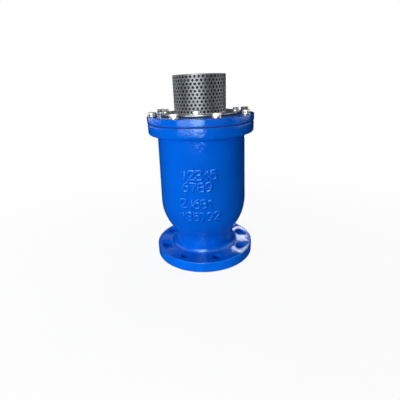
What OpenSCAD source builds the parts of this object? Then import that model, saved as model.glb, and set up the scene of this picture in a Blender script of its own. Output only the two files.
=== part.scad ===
// Single-chamber air release valve for a water main.
// A cast body stands on a drilled inlet flange and is closed by a bolted cover with a perforated strainer.
// Inside, a ball float works a small orifice through a lever and lifts a large plug on guide rods.
// Millimetres, +Z up, origin at the centre of the inlet flange's raised face, front facing -Y.
// At rest the valve is empty: the plug is down on its rods and the lever hangs on its stop.

/* [Inlet flange] */
// Bolt circle of the inlet flange
flange_pcd = 180; // [170:1:200]
// Distance from the bolt circle to the rim of the inlet flange
flange_edge = 20; // [15:0.5:26]
// Thickness of the inlet flange without its raised face
flange_t = 23; // [18:0.5:30]
// Number of bolt holes in the inlet flange
flange_holes = 8; // [4:4:12]
// Diameter of each bolt hole in the inlet flange
flange_hole_d = 19; // [14:0.5:23]
// Height of the raised face
raised_face_t = 2; // [1:0.5:4]
// Distance from the raised face to the bolt holes
raised_face_gap = 2.5; // [1:0.5:8]
// Bore of the inlet
inlet_d = 100; // [80:1:110]
// Fillet between the inlet flange and the neck
flange_fillet = 12; // [4:0.5:14]

/* [Body casting] */
// Outside diameter of the neck above the inlet flange
neck_d = 132; // [126:1:140]
// Height of the neck above the inlet flange
neck_h = 24; // [16:0.5:40]
// Radius of the hollow curve from the neck into the bowl
neck_curve_r = 31.5; // [20:0.5:40]
// Angle between the bowl's side and the valve axis
bowl_angle = 31; // [25:0.5:34]
// Radius of the round curve from the bowl into the barrel
bowl_curve_r = 103; // [80:1:120]
// Outside diameter of the barrel at its lower end
barrel_d = 186; // [180:1:210]
// Casting draft of the barrel, taken off its radius at the upper end
barrel_draft = 2.9; // [0:0.1:4]
// Height of the straight barrel between the bowl and the top flange
barrel_h = 143.5; // [125:0.5:190]
// Wall of the barrel and bowl
wall = 10; // [8:0.5:12]
// Thickness of the body's top flange
top_flange_t = 21.2; // [18:0.2:28]
// Rounding of the top flange's lower edge
top_flange_round = 6; // [2:0.5:8]
// Fillet under the top flange
top_flange_fillet = 4; // [1:0.5:6]
// Rounding of the other cast edges
cast_edge_r = 1.8; // [0.5:0.1:2.5]

/* [Cover and its bolts] */
// Thickness of the cover
cover_t = 13.8; // [12:0.2:20]
// Distance from the cover's bolt circle to its rim
cover_edge = 10.4; // [10.4:0.1:16]
// Distance from the barrel's upper end to the cover's bolt circle
cover_bolt_offset = 8.4; // [8:0.1:14]
// How far the cover's rim stands over the body's top flange
cover_overhang = 0.5; // [0:0.1:2]
// Height of the cover's locating spigot
spigot_h = 6; // [4:0.5:10]
// Thickness of the gasket between cover and body
gasket_t = 1.5; // [0.5:0.1:3]
// How far the gasket lies back from the top flange's rim
gasket_setback = 2; // [0.5:0.1:4]
// Number of cover bolts
cover_bolts_n = 8; // [4:4:12]
// Thread diameter of the cover bolts
cover_bolt_d = 10; // [8:1:12]
// Length of the cover bolts in the body
cover_bolt_grip = 16; // [10:0.5:17]
// Thickness of the spring washers
cover_washer_t = 2.2; // [1.5:0.1:3]
// Turn of the cover bolts' heads about their own axes
cover_bolt_turn = 30; // [0:5:55]

/* [Strainer] */
// Outside diameter of the perforated sleeve
strainer_d = 105; // [95:1:115]
// Sheet thickness of sleeve and cap
strainer_t = 1.5; // [1:0.1:2.5]
// Height of the perforated sleeve
strainer_h = 68.5; // [40:0.5:110]
// Diameter of the perforations
hole_d = 5; // [4:0.1:5.4]
// Distance between neighbouring perforations in a row
hole_pitch = 7.85; // [7.5:0.05:12]
// Distance between rows of perforations
row_pitch = 6.2; // [6:0.05:10]
// Turn of the perforations about the axis
hole_turn = 1.2; // [0:0.1:8]
// Thickness of the strainer's base plate
plate_t = 2; // [1.5:0.5:6]
// Room between the base plate and the cover bolts' washers
plate_gap = 9.8; // [4:0.1:12]
// Thickness of the gasket under the base plate
strainer_gasket_t = 2; // [0.5:0.1:3]
// Number of screws in the base plate
strainer_screws_n = 4; // [4:4:8]
// Thread diameter of the strainer screws
strainer_screw_d = 8; // [4:1:8]
// Length of the strainer screws in the cover
strainer_screw_grip = 10; // [6:0.5:11]
// Thickness of the strainer screws' flat washers
strainer_washer_t = 1.6; // [1:0.1:2]

/* [Main seat and plug] */
// Room between the seat ring and the nuts on the rods
seat_room = 6.4; // [4:0.1:12]
// Width of the seat ring's sealing lip
seat_lip_w = 3.5; // [2.5:0.1:4]
// Height of the sealing lip
seat_lip_h = 1; // [0.6:0.1:2]
// Width of the seat ring outside its lip
seat_flange_w = 8.5; // [8:0.1:9]
// Thickness of the seat ring
seat_ring_t = 8; // [6:0.5:10]
// Depth of the seat ring's recess in the cover
seat_recess = 4; // [2:0.5:5.5]
// Travel of the plug from rest to the seat
plug_lift = 28; // [18:0.5:34]
// Thickness of the plug and of its ears
plug_t = 8; // [6:0.5:12]
// Thickness of the plug's rubber seal
seal_t = 5; // [4:0.5:8]
// Thickness of the disc that clamps the seal
retainer_t = 4; // [2.5:0.5:6]
// Thread diameter of the retainer screws
retainer_screw_d = 5; // [4:1:5]

/* [Guide rods] */
// Number of guide rods
rods_n = 4; // [3:1:4]
// Diameter of the rods where the plug slides
rod_d = 10; // [8:0.5:11]
// How far the rods' lower shoulders stand proud of the sliding length
rod_shoulder = 2; // [1.5:0.1:3]
// Wall of the plug's ears round the rods
ear_wall = 3.1; // [2.5:0.1:4]
// Room between the ears and the barrel's bore
ear_gap = 1.3; // [1:0.1:3]
// Length of the rods in the cover
rod_grip = 10; // [8:0.5:11]
// Thickness of the ring that ties the rods together
ring_t = 6; // [4:0.5:10]
// Height of that ring above the barrel's lower end
ring_rise = 9; // [8:0.5:20]

/* [Small orifice and lever] */
// Bore of the small orifice
orifice_d = 2; // [1:0.1:3]
// Thread diameter of the nozzle
nozzle_d = 10; // [8:0.5:12]
// Wall of the plug's boss outside the nozzle
boss_wall = 4; // [3:0.5:8]
// Distance from the lever's pivot to the small orifice
orifice_arm = 15; // [14.5:0.1:17]
// Drop of the lever at rest, with the small orifice open
lever_drop = 12; // [6:0.5:14]
// Width of the lever
lever_w = 14; // [12:0.5:16]
// Thickness of the lever between its ends
lever_t = 6; // [4:0.5:8]
// Radius of the lever's round ends
lever_end_r = 7; // [6:0.5:7.5]
// Depth of the lever's pivot below the plug
pivot_depth = 16; // [15:0.5:20]
// Diameter of the lever pin and the float pin
pin_d = 6; // [4:0.5:7]
// Thickness of the bracket's sheet
bracket_t = 3; // [2:0.5:4]
// Diameter of the rubber button
button_d = 11.4; // [9:0.1:12]
// Thickness of the rubber button
button_t = 3; // [2:0.5:4]

/* [Float] */
// Room between the ball and the rods
float_gap = 4.5; // [3:0.5:8]
// Wall of the hollow ball
float_wall = 1.2; // [0.8:0.1:3]
// Height of the float pin above the ball
float_stem = 16; // [14:0.5:24]
// Thickness of the fork's cheeks
fork_t = 4; // [3:0.5:6]

/* [Fits] */
// Radial play of sliding and turning pieces
running_fit = 0.06; // [0.02:0.01:0.1]
// Radial play of screwed and pinned pieces
fixed_fit = 0.03; // [0.01:0.01:0.05]
// Radial play of bolts in plain holes
bolt_play = 1; // [0.5:0.1:1.5]
// Play of located pieces and of pieces beside each other
side_play = 0.3; // [0.2:0.05:0.5]
// Play left at the end stops and under welded pieces
stop_play = 0.1; // [0.05:0.01:0.2]

/* [Hidden] */
$fn = 96;
small_fn = 32;
arc_steps = 24;
eps = 0.01;
over = 1;
hex_crown = 0.97;
hex_chamfer_angle = 30;

// Colours
paint = [0.02, 0.33, 0.80];
stainless = [0.62, 0.62, 0.64];
zinc = [0.78, 0.77, 0.72];
brass_tone = [0.78, 0.62, 0.30];
black_rubber = [0.06, 0.06, 0.07];
gasket_fibre = [0.16, 0.15, 0.14];
moulding = [0.20, 0.21, 0.23];

// Standard sizes of hexagons, countersunk heads and pan heads for a thread of diameter d
function hex_af(d) = 1.5 * d;
function hex_corner(af) = af / 2 / cos(30);
function hex_head_h(d) = 0.64 * d;
function hex_nut_h(d) = 0.55 * d;
function countersunk_r(d) = 0.95 * d;
function pan_head_r(d) = 0.95 * d;
function pan_head_h(d) = 0.65 * d;
function pan_edge_r(d) = 0.3 * d;

// Inlet flange and neck
flange_r = flange_pcd / 2 + flange_edge;
raised_face_r = flange_pcd / 2 - flange_hole_d / 2 - raised_face_gap;
inlet_r = inlet_d / 2;
neck_r = neck_d / 2;
z_flange_top = raised_face_t + flange_t;
z_neck_top = z_flange_top + neck_h;

// Bowl: a hollow curve, a cone and a round curve, tangent to each other
barrel_r = barrel_d / 2;
bowl_cone_low = neck_r + neck_curve_r * (1 - cos(bowl_angle));
bowl_cone_high = barrel_r - bowl_curve_r * (1 - cos(bowl_angle));
bowl_cone_h = (bowl_cone_high - bowl_cone_low) / tan(bowl_angle);
z_cone_low = z_neck_top + neck_curve_r * sin(bowl_angle);
z_barrel = z_cone_low + bowl_cone_h + bowl_curve_r * sin(bowl_angle);
bowl_centre_x = barrel_r - bowl_curve_r;

// Hollow of the body, one wall inside the bowl and barrel
chamber_r = barrel_r - wall;
chamber_curve_r = bowl_curve_r - wall;
chamber_cone_high = bowl_centre_x + chamber_curve_r * cos(bowl_angle);
z_chamber_cone = z_barrel - chamber_curve_r * sin(bowl_angle);
z_inlet_top = z_chamber_cone - (chamber_cone_high - inlet_r) / tan(bowl_angle);

// Top flange, cover and bolts
barrel_top_r = barrel_r - barrel_draft;
cover_pcr = barrel_top_r + cover_bolt_offset;
cover_r = cover_pcr + cover_edge;
top_flange_r = cover_r - cover_overhang;
z_top_flange = z_barrel + barrel_h;
z_joint = z_top_flange + top_flange_t;
z_cover = z_joint + gasket_t;
z_cover_top = z_cover + cover_t;
z_spigot = z_cover - spigot_h;
spigot_r = chamber_r - side_play;
cover_bolt_r = cover_bolt_d / 2;
cover_washer_r = hex_corner(hex_af(cover_bolt_d));
washer_split = 2;
washer_split_tilt = 40;

// Strainer
strainer_r = strainer_d / 2;
plate_r = cover_pcr - cover_washer_r - plate_gap;
plate_bore_r = strainer_r - 2 * strainer_t;
strainer_screw_r = strainer_screw_d / 2;
strainer_washer_r = strainer_screw_d;
strainer_pcr = plate_r - strainer_washer_r;
z_plate = z_cover_top + strainer_gasket_t;
z_plate_top = z_plate + plate_t;
z_sleeve_top = z_plate_top + strainer_h;
hole_columns = round(PI * strainer_d / hole_pitch);
min_land = 0.5;
hole_rows = floor((strainer_h - hole_d - 2 * min_land) / row_pitch) + 1;
sleeve_land = (strainer_h - (hole_rows - 1) * row_pitch) / 2;
cap_hole_limit = strainer_r - strainer_t - hole_d / 2 - min_land;
cap_rings = floor(cap_hole_limit / hole_pitch);
cap_edge_r = 0.8 * strainer_t;

// Guide rods
rod_r = rod_d / 2;
rod_shoulder_r = rod_r + rod_shoulder;
ear_r = rod_r + running_fit + ear_wall;
rod_pcr = chamber_r - ear_gap - ear_r;
rod_angle = 45;
rod_tail = 2;
z_ring = z_barrel + ring_rise;
z_ring_top = z_ring + ring_t;
z_rod_end = z_ring - hex_nut_h(rod_d) - rod_tail;

// Seat ring, between the rods' nuts and the outlet
seat_land = 1.5;
seat_r = rod_pcr - hex_corner(hex_af(rod_d)) - seat_room;
seat_lip_out = seat_r - seat_flange_w;
seat_lip_in = seat_lip_out - seat_lip_w;
outlet_r = seat_lip_in - seat_land;
z_recess = z_spigot + seat_recess;
z_seat_under = z_recess - seat_ring_t;
z_seat_lip = z_seat_under - seat_lip_h;
seat_screw_d = 4;
seat_screw_r = seat_screw_d / 2;
seat_head_r = countersunk_r(seat_screw_d);
seat_screw_grip = 10;
seat_screw_pcr = seat_lip_out + seat_flange_w / 2;
seat_screws_n = 4;

// Plug at rest
z_seal_top = z_seat_lip - stop_play - plug_lift;
z_plug_top = z_seal_top - seal_t;
z_plug = z_plug_top - plug_t;
z_retainer_top = z_seal_top + retainer_t;
seal_overlap = 3;
seal_r = seat_lip_out + seal_overlap;
plug_r = seal_r + seal_overlap;
retainer_r = outlet_r - seal_overlap;
plug_boss_r = retainer_r - 2 * seal_overlap;
retainer_screw_r = retainer_screw_d / 2;
retainer_screw_edge = 6;
retainer_pcr = plug_boss_r - retainer_screw_edge;
retainer_screws_n = 4;
retainer_angle = 45;

// Lever, bracket and nozzle, in the plug's place at rest
z_pivot = z_plug - pivot_depth;
pin_r = pin_d / 2;
nozzle_r = nozzle_d / 2;
nozzle_x = nozzle_r + boss_wall - plug_boss_r;
lever_arm = orifice_arm - nozzle_x;
nozzle_collar = 2;
nozzle_hex_af = nozzle_d + 2 * nozzle_collar;
nozzle_hex_h = 5;
nozzle_tip_r = 2.5;
nozzle_tail = 2;
holder_base_t = 2;
holder_rim_h = 2;
holder_rim_w = 1.2;
holder_stud_d = 6;
holder_stud_r = holder_stud_d / 2;
holder_tail = 1;
button_r = button_d / 2;
holder_r = button_r + running_fit + holder_rim_w;
button_top = lever_t / 2 + holder_base_t + button_t;
z_nozzle_tip = z_pivot + button_top + stop_play;
bracket_front = 6;
bracket_back = lever_end_r;
bracket_screw_d = 5;
bracket_screw_r = bracket_screw_d / 2;
bracket_screw_grip = 7;
bracket_screw_room = 8;
cheek_in = lever_w / 2 + side_play;
cheek_out = cheek_in + bracket_t;
bracket_screw_y = cheek_out + bracket_screw_room;
bracket_foot_y = bracket_screw_y + bracket_screw_d;
heel_w = 6;
heel_reach = pivot_depth - bracket_t - stop_play;
heel_top = (heel_reach - lever_end_r * sin(lever_drop)) / cos(lever_drop);
clip_t = 0.9;
clip_play = 0.1;
clip_w = 2;
clip_r = pin_r + clip_w;
clip_groove = 0.5;
clip_gap = 1.2 * pin_r;
pin_end = 1.2;

// Float, hung from the dropped lever
float_pin_x = lever_arm * cos(lever_drop) - lever_arm;
z_float_pin = z_pivot - lever_arm * sin(lever_drop);
float_r = rod_pcr - rod_shoulder_r - float_gap;
z_ball = z_float_pin - float_stem - float_r;
fork_in = lever_w / 2 + side_play;
fork_out = fork_in + fork_t;
fork_eye = 3;
fork_r = pin_r + fork_eye;
fork_foot_ledge = 2.7;
fork_base_r = fork_out + fork_foot_ledge;
fork_room = 2;
fork_floor = lever_end_r + fork_room;

// Points on an arc about a centre, from angle a0 to angle a1
function arc(x, z, r, a0, a1) =
    [for (i = [0 : arc_steps]) let (a = a0 + (a1 - a0) * i / arc_steps) [x + r * cos(a), z + r * sin(a)]];

// Copies of a piece evenly round the valve axis
module around(n, r, turn = 0) {
    for (i = [0 : n - 1])
        rotate([0, 0, turn + i * 360 / n]) translate([r, 0, 0]) children();
}

// Flat ring standing on height z
module ring(r_out, r_in, h, z) {
    translate([0, 0, z]) difference() {
        cylinder(r = r_out, h = h);
        translate([0, 0, -over]) cylinder(r = r_in, h = h + 2 * over);
    }
}

// Cutter for a round hole from height z up by h, a little longer at both ends
module drill(r, z, h) {
    translate([0, 0, z - over]) cylinder(r = r, h = h + 2 * over, $fn = small_fn);
}

// Hexagonal head or nut with its outer corners chamfered on top, flats facing the axis
module hexagon(af, h) {
    corner = hex_corner(af);
    crown = hex_crown * af / 2;
    chamfer = (corner - crown) * tan(hex_chamfer_angle);
    intersection() {
        rotate([0, 0, 30]) cylinder(r = corner, h = h, $fn = 6);
        union() {
            cylinder(r = corner + eps, h = h - chamfer);
            translate([0, 0, h - chamfer]) cylinder(r1 = corner + eps, r2 = crown, h = chamfer);
        }
    }
}

// Hex screw of thread diameter d standing head up on height 0, with its shank below
module hex_screw(d, length) {
    hexagon(hex_af(d), hex_head_h(d));
    translate([0, 0, -length]) cylinder(d = d, h = length + eps, $fn = small_fn);
}

// Hexagonal nut for a thread of diameter d
module hex_nut(d) {
    difference() {
        hexagon(hex_af(d), hex_nut_h(d));
        translate([0, 0, -over])
            cylinder(r = d / 2 + fixed_fit, h = hex_nut_h(d) + 2 * over, $fn = small_fn);
    }
}

// Pan-head screw of thread diameter d standing head up on height 0, with its shank below
module pan_screw(d, length) {
    edge = pan_edge_r(d);
    rotate_extrude($fn = small_fn) polygon(concat(
        [[0, -length], [d / 2, -length], [d / 2, 0], [pan_head_r(d), 0]],
        arc(pan_head_r(d) - edge, pan_head_h(d) - edge, edge, 0, 90),
        [[0, pan_head_h(d)]]));
}

// Pin along Y with a groove near each end for a retaining ring
module grooved_pin(half_span) {
    groove = half_span + clip_play;
    rotate([90, 0, 0]) difference() {
        cylinder(r = pin_r, h = 2 * (groove + clip_t + pin_end), center = true, $fn = small_fn);
        for (side = [-1, 1])
            translate([0, 0, side * (groove + clip_t / 2)])
                ring(pin_r + over, pin_r - clip_groove, clip_t, -clip_t / 2);
    }
}

// Pair of open retaining rings on such a pin
module pin_clips(half_span) {
    for (side = [-1, 1])
        translate([0, side * (half_span + clip_play + clip_t / 2), 0]) rotate([90, 0, 0]) difference() {
            cylinder(r = clip_r, h = clip_t - clip_play, center = true, $fn = small_fn);
            cylinder(r = pin_r - clip_groove + fixed_fit, h = clip_t + over, center = true, $fn = small_fn);
            translate([0, -clip_r, 0]) cube([clip_gap, 2 * clip_r, clip_t + over], center = true);
        }
}

// Places a piece that is drawn with the lever level and its pivot at the origin
module on_lever() {
    translate([-lever_arm, 0, z_pivot]) rotate([0, lever_drop, 0]) children();
}

// Outline of the casting's outside, from the raised face up to the joint
function body_outside() = concat(
    [[raised_face_r, 0], [raised_face_r, raised_face_t]],
    arc(flange_r - cast_edge_r, raised_face_t + cast_edge_r, cast_edge_r, -90, 0),
    arc(flange_r - cast_edge_r, z_flange_top - cast_edge_r, cast_edge_r, 0, 90),
    arc(neck_r + flange_fillet, z_flange_top + flange_fillet, flange_fillet, 270, 180),
    arc(neck_r + neck_curve_r, z_neck_top, neck_curve_r, 180, 180 - bowl_angle),
    arc(bowl_centre_x, z_barrel, bowl_curve_r, -bowl_angle, 0),
    arc(barrel_top_r + top_flange_fillet, z_top_flange - top_flange_fillet, top_flange_fillet, 180, 90),
    arc(top_flange_r - top_flange_round, z_top_flange + top_flange_round, top_flange_round, -90, 0),
    arc(top_flange_r - cast_edge_r, z_joint - cast_edge_r, cast_edge_r, 0, 90));

// Outline of the casting's hollow, from the joint down to the raised face
function body_inside() = concat(
    [[chamber_r, z_joint]],
    arc(bowl_centre_x, z_barrel, chamber_curve_r, 0, -bowl_angle),
    [[inlet_r, z_inlet_top], [inlet_r, 0]]);

module body() {
    color(paint) difference() {
        rotate_extrude() polygon(concat(body_outside(), body_inside()));
        around(flange_holes, flange_pcd / 2, 180 / flange_holes)
            translate([0, 0, -over]) cylinder(d = flange_hole_d, h = z_flange_top + 2 * over);
        around(cover_bolts_n, cover_pcr, 180 / cover_bolts_n)
            drill(cover_bolt_r + fixed_fit, z_joint - cover_bolt_grip, cover_bolt_grip);
    }
}

module cover_gasket() {
    color(gasket_fibre) difference() {
        ring(top_flange_r - gasket_setback, chamber_r, gasket_t, z_joint);
        around(cover_bolts_n, cover_pcr, 180 / cover_bolts_n)
            drill(cover_bolt_r + bolt_play, z_joint, gasket_t);
    }
}

// Outline of the cover with its spigot and the seat ring's recess
function cover_outline() = concat(
    [[outlet_r, z_cover_top], [outlet_r, z_recess], [seat_r + fixed_fit, z_recess],
     [seat_r + fixed_fit, z_spigot], [spigot_r, z_spigot], [spigot_r, z_cover]],
    arc(cover_r - cast_edge_r, z_cover + cast_edge_r, cast_edge_r, -90, 0),
    arc(cover_r - cast_edge_r, z_cover_top - cast_edge_r, cast_edge_r, 0, 90));

module cover() {
    color(paint) difference() {
        rotate_extrude() polygon(cover_outline());
        around(cover_bolts_n, cover_pcr, 180 / cover_bolts_n)
            drill(cover_bolt_r + bolt_play, z_cover, cover_t);
        around(strainer_screws_n, strainer_pcr)
            drill(strainer_screw_r + fixed_fit, z_cover_top - strainer_screw_grip, strainer_screw_grip);
        around(rods_n, rod_pcr, rod_angle)
            drill(rod_r + fixed_fit, z_spigot, rod_grip);
        around(seat_screws_n, seat_screw_pcr)
            drill(seat_screw_r + fixed_fit, z_spigot, seat_recess + seat_screw_grip);
    }
}

module cover_washers() {
    color(zinc) around(cover_bolts_n, cover_pcr, 180 / cover_bolts_n) difference() {
        ring(cover_washer_r, cover_bolt_r + fixed_fit, cover_washer_t, z_cover_top);
        translate([cover_bolt_r, 0, z_cover_top + cover_washer_t / 2]) rotate([washer_split_tilt, 0, 0])
            cube([2 * cover_bolt_r, washer_split, 4 * cover_washer_t], center = true);
    }
}

module cover_bolts() {
    color(zinc) around(cover_bolts_n, cover_pcr, 180 / cover_bolts_n)
        translate([0, 0, z_cover_top + cover_washer_t]) rotate([0, 0, cover_bolt_turn])
            hex_screw(cover_bolt_d, cover_washer_t + cover_t + gasket_t + cover_bolt_grip);
}

module strainer_gasket() {
    color(gasket_fibre) difference() {
        ring(plate_r, plate_bore_r, strainer_gasket_t, z_cover_top);
        around(strainer_screws_n, strainer_pcr)
            drill(strainer_screw_r + bolt_play / 2, z_cover_top, strainer_gasket_t);
    }
}

module strainer_plate() {
    color(stainless) difference() {
        ring(plate_r, plate_bore_r, plate_t, z_plate);
        around(strainer_screws_n, strainer_pcr)
            drill(strainer_screw_r + bolt_play / 2, z_plate, plate_t);
    }
}

// Sheet rolled into a sleeve, with staggered rows of round perforations
module strainer_sleeve() {
    color(stainless) difference() {
        ring(strainer_r, strainer_r - strainer_t, strainer_h, z_plate_top);
        for (row = [0 : hole_rows - 1])
            around(hole_columns, strainer_r - strainer_t / 2, hole_turn + (row % 2) * 180 / hole_columns)
                translate([0, 0, z_plate_top + sleeve_land + row * row_pitch]) rotate([0, 90, 0])
                    cylinder(d = hole_d, h = strainer_t + 2 * over, center = true, $fn = small_fn);
    }
}

// Round sheet with a rounded edge, perforated in rings about a central hole
module strainer_cap() {
    color(stainless) difference() {
        translate([0, 0, z_sleeve_top]) rotate_extrude() polygon(concat(
            [[0, 0], [strainer_r, 0]],
            arc(strainer_r - cap_edge_r, strainer_t - cap_edge_r, cap_edge_r, 0, 90),
            [[0, strainer_t]]));
        translate([0, 0, z_sleeve_top]) {
            drill(hole_d / 2, 0, strainer_t);
            for (k = [1 : cap_rings])
                around(6 * k, k * cap_hole_limit / cap_rings) drill(hole_d / 2, 0, strainer_t);
        }
    }
}

module strainer_washers() {
    color(zinc) around(strainer_screws_n, strainer_pcr)
        ring(strainer_washer_r, strainer_screw_r + fixed_fit, strainer_washer_t, z_plate_top);
}

module strainer_screws() {
    color(zinc) around(strainer_screws_n, strainer_pcr)
        translate([0, 0, z_plate_top + strainer_washer_t])
            hex_screw(strainer_screw_d,
                strainer_washer_t + plate_t + strainer_gasket_t + strainer_screw_grip);
}

// Countersunk screw standing head down on height 0, with a given play all round
module countersunk(play, length) {
    rotate_extrude($fn = small_fn) polygon([
        [0, 0], [seat_head_r + play, 0], [seat_screw_r + play, seat_head_r - seat_screw_r],
        [seat_screw_r + play, length], [0, length]]);
}

module seat_ring() {
    color(stainless) difference() {
        rotate_extrude() polygon([
            [outlet_r, z_seat_under], [seat_lip_in, z_seat_under], [seat_lip_in, z_seat_lip],
            [seat_lip_out, z_seat_lip], [seat_lip_out, z_seat_under], [seat_r, z_seat_under],
            [seat_r, z_recess], [outlet_r, z_recess]]);
        around(seat_screws_n, seat_screw_pcr)
            translate([0, 0, z_seat_under]) countersunk(fixed_fit, seat_ring_t + over);
    }
}

module seat_screws() {
    color(zinc) around(seat_screws_n, seat_screw_pcr)
        translate([0, 0, z_seat_under]) countersunk(0, seat_ring_t + seat_screw_grip);
}

// Turned rods: screwed into the cover, with a shoulder where the plug rests and a tail through the ring
module guide_rods() {
    color(stainless) around(rods_n, rod_pcr, rod_angle) {
        translate([0, 0, z_rod_end])
            cylinder(r = rod_r, h = z_spigot + rod_grip - z_rod_end, $fn = small_fn);
        translate([0, 0, z_ring_top])
            cylinder(r = rod_shoulder_r, h = z_plug - z_ring_top, $fn = small_fn);
    }
}

module guide_ring() {
    color(stainless) difference() {
        ring(rod_pcr + ear_r, float_r + float_gap, ring_t, z_ring);
        around(rods_n, rod_pcr, rod_angle)
            drill(rod_r + fixed_fit, z_ring, ring_t);
    }
}

module rod_nuts() {
    color(zinc) around(rods_n, rod_pcr, rod_angle)
        for (z = [z_ring, z_spigot])
            translate([0, 0, z]) rotate([180, 0, 0]) hex_nut(rod_d);
}

// Moulded disc with a raised boss for the seal and an ear on each rod
module plug() {
    color(moulding) difference() {
        union() {
            translate([0, 0, z_plug]) cylinder(r = plug_r, h = plug_t);
            translate([0, 0, z_plug]) cylinder(r = plug_boss_r, h = plug_t + seal_t);
            translate([0, 0, z_plug]) linear_extrude(plug_t) {
                around(rods_n, rod_pcr, rod_angle) circle(r = ear_r);
                around(rods_n, rod_pcr / 2, rod_angle) square([rod_pcr, 2 * ear_r], center = true);
            }
        }
        around(rods_n, rod_pcr, rod_angle)
            drill(rod_r + running_fit, z_plug, plug_t);
        translate([nozzle_x, 0, 0]) drill(nozzle_r + fixed_fit, z_plug, plug_t + seal_t);
        around(retainer_screws_n, retainer_pcr, retainer_angle)
            drill(retainer_screw_r + fixed_fit, z_plug_top, seal_t);
        for (side = [-1, 1])
            translate([-lever_arm, side * bracket_screw_y, 0])
                drill(bracket_screw_r + fixed_fit, z_plug, bracket_screw_grip - over);
    }
}

module plug_seal() {
    color(black_rubber) ring(seal_r, plug_boss_r + fixed_fit, seal_t, z_plug_top);
}

module seal_retainer() {
    color(stainless) difference() {
        translate([0, 0, z_seal_top]) cylinder(r = retainer_r, h = retainer_t);
        around(retainer_screws_n, retainer_pcr, retainer_angle)
            drill(retainer_screw_r + fixed_fit, z_seal_top, retainer_t);
        translate([nozzle_x, 0, 0]) drill(nozzle_r + fixed_fit, z_seal_top, retainer_t);
    }
}

module retainer_screws() {
    color(zinc) around(retainer_screws_n, retainer_pcr, retainer_angle)
        translate([0, 0, z_retainer_top]) pan_screw(retainer_screw_d, retainer_t + seal_t);
}

// Turned nozzle: a tip for the button, a hexagon under the plug and a stud through it
module nozzle() {
    z_hex = z_plug - nozzle_hex_h;
    z_end = z_retainer_top + hex_nut_h(nozzle_d) + nozzle_tail;
    color(brass_tone) translate([nozzle_x, 0, 0]) difference() {
        union() {
            translate([0, 0, z_nozzle_tip])
                cylinder(r1 = nozzle_tip_r, r2 = nozzle_r, h = z_hex - z_nozzle_tip + eps, $fn = small_fn);
            translate([0, 0, z_hex]) rotate([180, 0, 0]) translate([0, 0, -nozzle_hex_h])
                hexagon(nozzle_hex_af, nozzle_hex_h);
            translate([0, 0, z_plug - eps])
                cylinder(r = nozzle_r, h = z_end - z_plug + eps, $fn = small_fn);
        }
        drill(orifice_d / 2, z_nozzle_tip, z_end - z_nozzle_tip);
    }
}

module nozzle_nut() {
    color(zinc) translate([nozzle_x, 0, z_retainer_top]) hex_nut(nozzle_d);
}

// Bent sheet: a base under the plug and two cheeks that hold the lever's pin
module lever_bracket() {
    color(stainless) translate([-lever_arm, 0, z_plug]) difference() {
        union() {
            translate([-bracket_back, -bracket_foot_y, -bracket_t])
                cube([bracket_back + bracket_front, 2 * bracket_foot_y, bracket_t]);
            for (side = [-1, 1])
                translate([0, side * (cheek_in + cheek_out) / 2, -pivot_depth]) rotate([90, 0, 0])
                    linear_extrude(bracket_t, center = true) {
                        circle(r = bracket_front);
                        translate([-bracket_front, 0])
                            square([2 * bracket_front, pivot_depth - bracket_t + eps]);
                    }
        }
        translate([0, 0, -pivot_depth]) rotate([90, 0, 0])
            cylinder(r = pin_r + fixed_fit, h = 2 * (cheek_out + over), center = true, $fn = small_fn);
        for (side = [-1, 1])
            translate([0, side * bracket_screw_y, 0])
                drill(bracket_screw_r + fixed_fit, -bracket_t, bracket_t);
    }
}

module bracket_screws() {
    color(zinc) for (side = [-1, 1])
        translate([-lever_arm, side * bracket_screw_y, z_plug - bracket_t]) rotate([180, 0, 0])
            pan_screw(bracket_screw_d, bracket_t + bracket_screw_grip);
}

module lever_pin() {
    color(stainless) translate([-lever_arm, 0, z_pivot]) grooved_pin(cheek_out);
}

module lever_pin_clips() {
    color(stainless) translate([-lever_arm, 0, z_pivot]) pin_clips(cheek_out);
}

// Cast lever with round ends, and a heel that meets the bracket when the lever has dropped
module lever() {
    color(brass_tone) on_lever() difference() {
        rotate([90, 0, 0]) linear_extrude(lever_w, center = true) difference() {
            union() {
                for (x = [0, lever_arm])
                    translate([x, 0]) circle(r = lever_end_r, $fn = small_fn);
                translate([0, -lever_t / 2]) square([lever_arm, lever_t]);
                translate([-lever_end_r, 0]) square([heel_w, heel_top]);
            }
            for (x = [0, lever_arm])
                translate([x, 0]) circle(r = pin_r + running_fit, $fn = small_fn);
        }
        translate([orifice_arm, 0, 0]) drill(holder_stud_r + fixed_fit, -lever_t / 2, lever_t);
    }
}

// Turned cup that holds the rubber button, with a stud down through the lever
module button_holder() {
    stud = lever_t + hex_nut_h(holder_stud_d) + holder_tail;
    color(brass_tone) on_lever() translate([orifice_arm, 0, lever_t / 2]) {
        difference() {
            cylinder(r = holder_r, h = holder_base_t + holder_rim_h, $fn = small_fn);
            translate([0, 0, holder_base_t])
                cylinder(r = button_r + fixed_fit, h = holder_rim_h + over, $fn = small_fn);
        }
        translate([0, 0, -stud]) cylinder(r = holder_stud_r, h = stud + eps, $fn = small_fn);
    }
}

module orifice_button() {
    color(black_rubber) on_lever() translate([orifice_arm, 0, lever_t / 2 + holder_base_t])
        cylinder(r = button_r, h = button_t, $fn = small_fn);
}

module holder_nut() {
    color(zinc) on_lever() translate([orifice_arm, 0, -lever_t / 2]) rotate([180, 0, 0])
        hex_nut(holder_stud_d);
}

module float_ball() {
    color(stainless) translate([float_pin_x, 0, z_ball]) difference() {
        sphere(r = float_r);
        sphere(r = float_r - float_wall);
    }
}

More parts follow.
